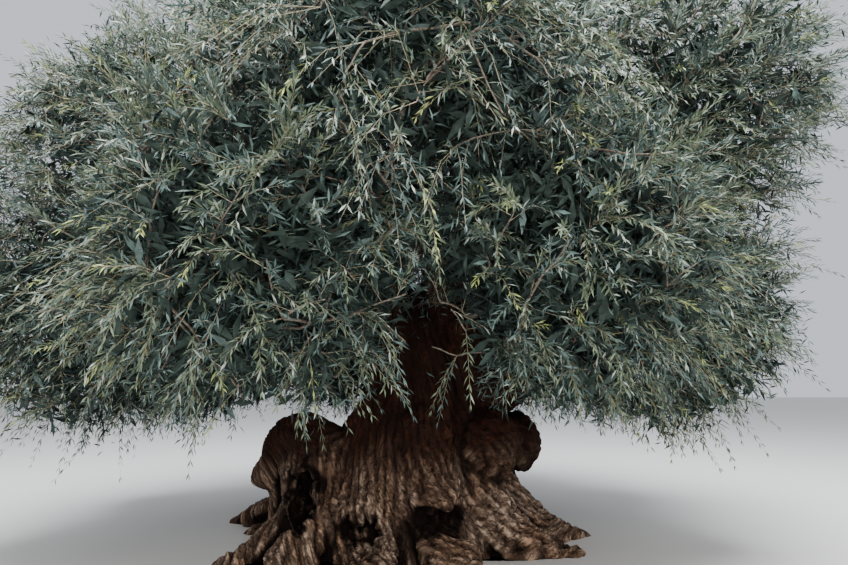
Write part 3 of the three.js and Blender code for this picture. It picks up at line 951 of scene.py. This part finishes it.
# The shoots: this year's and last year's growth, slender and whippy. They fan out from the ends of
# the twigs, stand up at the top of the crown and hang down in its skirts. A few sprout from the
# bark of the boughs or reach into the hollow of a mass.
SHOOTS = 6  # for each twig
END_SHOOTS = 3  # of those, the ones at its very end
OUTER_SHOOTS = 4  # and the ones that point outwards
SIDEWAYS = 0.25  # how far the others still do
SHOOT_LENGTH = 0.44
OWN, OUTWARD, AWAY, ANYWHERE, UPWARD = 0.35, 0.55, 0.50, 0.66, 0.22  # what a heading is made of
LEADERS = 0.06  # share of the shoots that outgrow the others
LEADER_LENGTH = 1.6
SKIRT_LENGTH = 1.12
SKIRT_SAG, TOP_SAG, SAG = 0.62, 0.05, 0.26
FRONT = 0  # the mass over the arch, which hangs down in front of the trunk
CURTAIN_LENGTH = 1.5
CURTAIN_SAG = 0.8
BOUGH_SHOOTS = 50
INNER_SHOOTS = 40
PROUD = 0.05  # how far a shoot's tip may stand out of the solids' box
GAPS = [  # the crown's openings, each as a middle and half sizes
    ((0.36, -2.7, 2.05), (0.34, 1.7, 0.52)),
    ((-0.92, -3.0, 1.30), (0.32, 1.6, 0.42)),
    ((1.35, -3.0, 1.10), (0.60, 1.6, 0.36)),
    ((-2.30, -1.2, 6.00), (0.36, 1.8, 0.55)),
]
random = np.random.default_rng(2031)


def in_gap(points):
    """True in the arch over the trunk and in the other gaps of the crown."""
    return np.any([norm((points - middle) / half, axis=1) < 1 for middle, half in GAPS], axis=0)


def in_ball(count):
    """Points scattered in a ball of radius 1."""
    return unit(random.normal(size=(count, 3))) * np.cbrt(random.random((count, 1)))


def shoot_places():
    """Root, direction, length and sag of the twigs' shoots, their mass, and which ones reach further."""
    twig = np.repeat(np.arange(len(TWIGS["end"])), SHOOTS)
    turn = np.arange(len(twig)) % SHOOTS
    place = np.where(turn < END_SHOOTS, 1.0, random.uniform(0.45, 0.95, len(twig)))
    root = hermite(twigs_at(twig), place[:, None])[:, 0]
    mass = TWIGS["mass"][twig]
    own = unit(TWIGS["end"][twig] - TWIGS["start"][twig])
    outward = unit((root - CENTRES[mass]) / RADII[mass] ** 2)
    tier = np.array([m["tier"] for m in MASSES])[mass]
    lower = (outward[:, 2] < 0.15) & (tier == "low")
    spread = unit(random.normal(size=(len(twig), 3)))
    push = np.where(turn < OUTER_SHOOTS, 1.0, SIDEWAYS)[:, None]
    push = push * (OUTWARD * outward + AWAY * unit(root - HEART))
    heading = unit(OWN * own + push + ANYWHERE * spread + [0, 0, UPWARD])
    length = SHOOT_LENGTH * random.uniform(0.62, 1.12, len(twig))
    leader = random.random(len(twig)) < LEADERS
    length *= np.where(lower, SKIRT_LENGTH, 1.0) * np.where(leader, LEADER_LENGTH, 1.0)
    sag = np.where(lower, SKIRT_SAG, np.where(outward[:, 2] > 0.6, TOP_SAG, SAG))
    sag = sag * random.uniform(0.5, 1.4, len(twig))
    curtain = (mass == FRONT) & (outward[:, 2] < 0.1)
    length = np.where(curtain, CURTAIN_LENGTH * length, length)
    sag = np.where(curtain, CURTAIN_SAG, sag)
    return root, heading, length, sag, mass, leader | curtain


def inner_shoots(index):
    """The same for the shoots that reach from the nearest twigs into the hollow of a mass."""
    spots = hermite(twigs_at(TWIGS["mass"] == index), [0.3, 0.6, 0.9]).reshape(-1, 3)
    aim = CENTRES[index] + 0.85 * RADII[index] * in_ball(INNER_SHOOTS)
    start = spots[norm(aim[:, None] - spots, axis=2).argmin(1)]
    way = aim - start + 0.08 * random.normal(size=start.shape)
    span = np.clip(norm(way, axis=1), 0.32, 0.70)
    sag = random.uniform(0.0, 0.2, INNER_SHOOTS)
    return start, unit(way), span, sag, np.full(INNER_SHOOTS, index), np.zeros(INNER_SHOOTS, bool)


def bough_shoots(index):
    """The same for the shoots that sprout from the bark of a bough, inside the crown."""
    path, radii = BOUGHS[index]
    step = random.uniform(0.45, 1.0, BOUGH_SHOOTS) * (len(path) - 1)
    start = read_path(path, range(len(path)), step)
    out = unit(random.normal(size=start.shape) + [0, 0, 0.5])
    span = SHOOT_LENGTH * random.uniform(0.7, 1.5, BOUGH_SHOOTS)
    sag = random.uniform(0.0, 0.4, BOUGH_SHOOTS)
    return start, out, span, sag, np.full(BOUGH_SHOOTS, index), np.ones(BOUGH_SHOOTS, bool)


growth = [shoot_places()]
growth += [inner_shoots(index) for index in range(len(MASSES))]
growth += [bough_shoots(index) for index in range(len(MASSES))]
root, heading, length, sag, shoot_mass, leader = joined(growth)


def on_shoot(t):
    """Points at the shares t of every shoot, and the direction of growth there."""
    t = np.asarray(t)[..., None]
    span = length[:, None, None]
    point = root[:, None] + heading[:, None] * span * t
    drop = sag[:, None, None] * span * [0, 0, -1.0]
    return point + drop * t**2, unit(heading[:, None] * span + 2 * drop * t)


# A shoot that would leave the crown's box turns along its side instead.
tips = on_shoot([1.0])[0][:, 0]
uneven = random.uniform(0, 0.2, (len(tips), 1))
turned_in = np.clip(tips, cad_low - PROUD + uneven, cad_high + PROUD - uneven)
leaves_box = ((tips < cad_low - PROUD) | (tips > cad_high + PROUD)).any(1)
length = np.where(leaves_box, np.maximum(norm(turned_in - root, axis=1), 0.26), length)
to_side = unit(turned_in - root + (sag * length)[:, None] * [0, 0, 1.0])
heading = np.where(leaves_box[:, None], to_side, heading)

# A shoot is kept where its tip stays near its own mass, in the box and out of the gaps.
tips = on_shoot([1.0])[0][:, 0]
reach = nearness(tips)
own_reach = np.take_along_axis(reach, shoot_mass[:, None], 1)[:, 0]
np.put_along_axis(reach, shoot_mass[:, None], 9.0, 1)
in_seam = smooth((1.5 - reach.min(1)) / 0.35)
limit = 0.97 + 0.16 * noise(tips * 1.1, 40) + 0.07 * noise(tips * 2.9, 41)
limit += 0.32 * in_seam + 0.22 * leader
on_twig = (own_reach < limit) & (reach.min(1) > own_reach - 0.16)
on_bough = np.arange(len(root)) >= len(root) - BOUGH_SHOOTS * len(BOUGHS)
kept = (on_twig | on_bough) & in_box(tips, -1.5 * PROUD) & ~in_gap(tips)
root, heading, length, sag = (values[kept] for values in (root, heading, length, sag))
depth = np.where(on_bough, 0.4, own_reach)[kept]

shoot_shares = np.array([0.0, 0.5, 1.0])
shoot_paths = on_shoot(shoot_shares)[0]
shoot_radii = np.broadcast_to(0.0032 - 0.0022 * shoot_shares, shoot_paths.shape[:2])
PIECE_TRIANGLES = 190000
WHOLE = 12  # a leaf or a stem lies whole in a run of so many faces


def add_pieces(name, corners, faces, materials, shares=None):
    """Joined pieces of one kind, each of at most PIECE_TRIANGLES triangles."""
    room = PIECE_TRIANGLES // (faces.shape[1] - 2) // WHOLE * WHOLE
    pieces = []
    for number, first in enumerate(range(0, len(faces), room), start=1):
        part = faces[first : first + room]
        low, high = part.min(), part.max() + 1
        mesh = mesh_of(f"{name}_{number}", corners[low:high], part - low)
        dealt = None if shares is None else shares[first : first + room]
        pieces.append(add_piece(mesh, materials, shares=dealt))
    return pieces


SHOOT_BARK = twig_finish("shoot_bark", (0.165, 0.135, 0.085), (0.300, 0.265, 0.180))
add_pieces("shoots", *tubes(shoot_paths, shoot_radii, 3), [SHOOT_BARK])


# The dry twigs: bare, dead ends of old sprays, which hang from the boughs in the shade of the crown.
# They fork once or twice and are brittle and thin.
DRY_TWIGS = 14  # for each bough
DRY_THICK, DRY_THIN = 0.0075, 0.0040
FORKS = (1, 2, 3)
dry_shares = np.linspace(0, 1, 5)


def on_boughs(count):
    """So many places on the outer part of each bough."""
    return np.concatenate([
        path[random.integers(len(path) // 3, len(path), count)] for path, radii in BOUGHS
    ])


def hanging(start, heading, length, thick):
    """Thin hanging stems as paths and radii."""
    t = dry_shares[None, :, None]
    wave = 0.10 * random.normal(size=(len(start), len(dry_shares), 3)) * t
    paths = start[:, None] + length[:, None, None] * (heading[:, None] * t + wave + t**2 * [0, 0, -0.55])
    return paths, np.broadcast_to(thick * (1 - 0.75 * dry_shares), paths.shape[:2])


dry_start = on_boughs(DRY_TWIGS)
dry_heading = unit(random.normal(size=dry_start.shape) * [1, 1, 0.3] + [0, 0, -0.25])
dry_length = random.uniform(0.35, 0.95, len(dry_start))
dry_sets = [hanging(dry_start, dry_heading, dry_length, DRY_THICK)]
for fork in FORKS:
    aside = unit(dry_heading + 1.1 * random.normal(size=dry_heading.shape))
    dry_sets.append(hanging(dry_sets[0][0][:, fork], aside, 0.5 * dry_length, DRY_THIN))
add_pieces("dry_twigs", *tubes(*joined(dry_sets), 3), [TWIG_BARK])


# The leaves: narrow and leathery, in opposite pairs that point forward along the shoot, dull grey-green
# above and silvery below. Those at the tips are young and yellower, those inside the mass are painted
# dark as shade, and exposed ones high up are painted pale as light.
PAIRS = 11  # of leaves on each shoot
LEAF_LENGTH = 0.082
LEAF_WIDTH = 0.0135
BELLY = 0.46  # where a leaf is widest, as a share of its length
FOLD = 0.16  # how far its edges rise, as a share of its width
DROOP = 0.05
LEAF_COLOURS = {
    "leaf_grey_green": (0.108, 0.140, 0.088),
    "leaf_blue_green": (0.062, 0.098, 0.090),
    # Painted shade: the colour of leaves deep in the crown.
    "leaf_deep_painted_shade": (0.023, 0.035, 0.030),
    "leaf_silver": (0.255, 0.300, 0.255),
    "leaf_young": (0.250, 0.290, 0.105),
    "leaf_olive": (0.105, 0.100, 0.045),
    # Painted light: the colour of exposed leaves high in the crown.
    "leaf_sage_painted_light": (0.255, 0.320, 0.285),
}
GREY, BLUE, DEEP_PAINTED_SHADE, SILVER, YOUNG, OLIVE, SAGE_PAINTED_LIGHT = range(len(LEAF_COLOURS))


def leaf_finish(name, colour):
    """A leathery leaf: dull, with a faint waxy gleam and a slight change of tint from leaf to leaf."""
    finish = Finish(name)
    place = finish.node("TexCoord", {}, output=3)
    tint = finish.node("TexNoise", {"Vector": place, "Scale": 19.0, "Detail": 1.0})
    darker = tuple(0.72 * value for value in colour)
    lighter = tuple(min(1.0, 1.30 * value) for value in colour)
    colour = finish.mix(tint.between(0.30, 0.70), darker, lighter)
    gleam = 0.10 if "deep" in name else 0.32
    finish.feed(base_color=colour, roughness=0.55, specular_ior_level=gleam)
    return finish.material


LEAF_FINISHES = [leaf_finish(name, colour) for name, colour in LEAF_COLOURS.items()]


def leaves(base, forward, up, size, width):
    """Narrow leaves, each folded a little along its rib, as corners and faces."""
    across = unit(np.cross(forward, up))
    lifted = unit(np.cross(across, forward))
    size, width = size[:, None], width[:, None]
    belly = base + forward * size * BELLY
    edge = across * width * 0.5
    fold = lifted * width * FOLD
    tip = base + forward * size - lifted * size * DROOP
    corners = np.stack([base, belly + edge + fold, tip, belly - edge + fold], 1)
    first = np.arange(len(base))[:, None] * 4
    faces = np.stack([first + [0, 1, 2], first + [0, 2, 3]], 1)
    return corners.reshape(-1, 3), faces.reshape(-1, 3)


def dress_shoots():
    """Base, direction, upper side and length of every leaf on the shoots."""
    shoots = len(length)
    share = np.linspace(0.10, 1.0, PAIRS)
    point, ahead = on_shoot(share)
    roll = random.uniform(0, 2 * math.pi, shoots)[:, None] + np.arange(PAIRS) * math.pi / 2
    roll = (roll + random.normal(0, 0.25, (shoots, PAIRS)))[..., None]
    across, over = crossways(ahead)
    out = across * np.cos(roll) + over * np.sin(roll)
    swell = 0.72 + 0.45 * np.sin(np.pi * np.clip(share * 0.9 + 0.05, 0, 1))
    forward, sizes = [], []
    for sign in (1, -1):
        splay = random.uniform(0.55, 1.05, (shoots, PAIRS))[..., None]
        splay = splay * (1 - 0.55 * share**3)[None, :, None]
        forward.append(unit(ahead + sign * out * splay + 0.10 * random.normal(size=point.shape)))
        sizes.append(LEAF_LENGTH * swell * random.uniform(0.85, 1.12, (shoots, PAIRS)))
    base, forward = (np.stack(values, 2).reshape(-1, 3) for values in ((point, point), forward))
    above = np.cross(np.cross(forward, [0.0, 0.0, 1.0]), forward)
    up = unit(above + 0.5 * random.normal(size=forward.shape))
    return base, forward, up, np.stack(sizes, 2).reshape(-1)


base, forward, up, size = dress_shoots()
leaf_shapes = leaves(base, forward, up, size, LEAF_WIDTH * (size / LEAF_LENGTH) ** 0.6)

# One colour for most of a shoot, painted dark as shade deep in the mass and pale as light high on the
# outside, with odd leaves turned silver side up and young ones near the tip.
shoots = (len(length), 1)
each_leaf = (len(length), PAIRS * 2)
exposed = smooth((depth - 0.62) / 0.4)[:, None]
draws = random.random(shoots)
clump = noise(root * 1.3, 50)[:, None]
rise = root[:, 2:]
colour = np.where(draws + 0.35 * clump < 0.45, GREY, BLUE)
# Painted shade: the less exposed a shoot, the likelier it takes the deep shade colour.
colour = np.where(draws > 0.93 - 0.25 * (1 - exposed), DEEP_PAINTED_SHADE, colour)
# Painted light: exposed shoots high in the crown take the pale sage colour.
high = smooth((rise + 0.5 * clump - 3.6) / 1.5)
colour = np.where(random.random(shoots) < 0.85 * high * exposed, SAGE_PAINTED_LIGHT, colour)
young = (random.random(shoots) < 0.04 + 0.28 * np.maximum(clump, 0)) & (exposed > 0.35)
near_tip = np.repeat(np.linspace(0, 1, PAIRS), 2)[None] > 0.62
colour = np.where(young & near_tip, YOUNG, colour)
turned = random.random(each_leaf) < 0.13 + 0.27 * smooth((rise - 3.8) / 2.4)
colour = np.where(turned & (colour != YOUNG), SILVER, colour)
colour = np.where(random.random(each_leaf) < 0.025, OLIVE, colour)
add_pieces("leaves", *leaf_shapes, LEAF_FINISHES, np.repeat(colour.ravel(), 2))


# The inner leaves fill the mass behind the shoots, larger and painted darker as shade the deeper they
# sit:
# along the twigs, in the hollow of each mass, in the seams between two, and round the boughs.
TWIG_LEAVES = 30  # for each twig
TWIG_SPREAD = 0.22
HOLLOW_LEAVES = 1300  # for each mass, and twice as many in a low one
HOLLOW, SEAM = 0.78, 1.08  # how far out in a mass the leaves of its hollow and of its seams reach
BOUGH_LEAVES = 520  # for each bough
BOUGH_SPREAD = 2.3 * TWIG_SPREAD
edges = twigs_at(np.repeat(np.arange(len(TWIGS["end"])), TWIG_LEAVES))
by_twig = hermite(edges, random.uniform(0.1, 1.0, (len(edges["end"]), 1)))[:, 0]
by_bough = on_boughs(BOUGH_LEAVES)
times = [HOLLOW_LEAVES * (2 if mass["tier"] == "low" else 1) for mass in MASSES]
centre, radii = np.repeat(CENTRES, times, axis=0), np.repeat(RADII, times, axis=0)
scattered = in_ball(len(centre))
in_seam = centre + SEAM * radii * scattered[::-1]
nearest, second = np.sort(nearness(in_seam), axis=1)[:, :2].T
inner_base = np.concatenate([
    by_twig + random.normal(0, TWIG_SPREAD, by_twig.shape),
    centre + HOLLOW * radii * scattered,
    in_seam[(nearest > 0.70) & (second < 1.25)],
    by_bough + random.normal(0, BOUGH_SPREAD, by_bough.shape),
])
inner_reach = nearness(inner_base).min(1)
inner_reach[len(by_twig) :] *= 0.6
chosen = (inner_reach < 0.95) & ~in_gap(inner_base) & in_box(inner_base, INSIDE)
inner_base = inner_base[chosen]
deep = smooth((0.66 - inner_reach[chosen]) / 0.28)
forward = unit(random.normal(size=inner_base.shape) + [0, 0, 0.1])
up = unit(random.normal(size=inner_base.shape) + [0, 0, 1.0])
size = (0.10 + 0.115 * deep) * random.uniform(0.8, 1.15, len(inner_base))
leaf_shapes = leaves(inner_base, forward, up, size, size * (0.17 + 0.11 * deep))
# Painted shade: most inner leaves take the deep shade colour, the deeper they sit the more.
shade = np.where(random.random(len(inner_base)) < 0.7 + 0.3 * deep, DEEP_PAINTED_SHADE, BLUE)
inner_pieces = add_pieces("inner_leaves", *leaf_shapes, LEAF_FINISHES, np.repeat(shade, 2))
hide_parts(*(f"foliage_{mass['name']}" for mass in MASSES))


# The stage: a pale floor, a soft even sky and a broad soft light, and the photograph's camera.
CAMERA_PLACE = (0.23, -7.5, 1.7)
CAMERA_PITCH = 10
LENS = 26
FLOOR_HALF = 150
SKY_COLOUR = (0.80, 0.84, 0.92, 1)
SKY_STRENGTH = 0.95

floor_corners = FLOOR_HALF * np.array([(-1, -1, 0), (1, -1, 0), (1, 1, 0), (-1, 1, 0)])
floor_mesh = mesh_of("floor", floor_corners, np.array([[0, 1, 2, 3]]))
floor_finish = Finish("floor")
floor_finish.feed(base_color=(0.62, 0.61, 0.59, 1), roughness=0.9)
floor_mesh.materials.append(floor_finish.material)
floor = placed("floor", floor_mesh)

world = bpy.data.worlds.new("sky")
world.use_nodes = True
background = world.node_tree.nodes["Background"].inputs
background["Color"].default_value = SKY_COLOUR
background["Strength"].default_value = SKY_STRENGTH
bpy.context.scene.world = world


def area_light(name, place, aim, size, power, colour):
    data = bpy.data.lights.new(name, "AREA")
    data.shape = "DISK"
    data.size = size
    data.energy = power
    data.color = colour
    light = placed(name, data)
    light.location = place
    light.visible_camera = False
    light.rotation_euler = (Vector(aim) - Vector(place)).to_track_quat("-Z", "Y").to_euler()


area_light("sky_light", (1, -6, 17), (0, 0, 4.5), 12, 11000, (0.95, 0.98, 1.0))
area_light("front_light", (2.0, -14, 5.5), (0.2, 0, 0.8), 8, 1500, (1.0, 0.95, 0.88))

camera_data = bpy.data.cameras.new("camera")
camera_data.lens = LENS
camera_data.sensor_width = 36
camera_data.clip_end = 200
camera = placed("camera", camera_data)
camera.location = CAMERA_PLACE
camera.rotation_euler = (math.radians(90 + CAMERA_PITCH), 0, 0)
bpy.context.scene.camera = camera
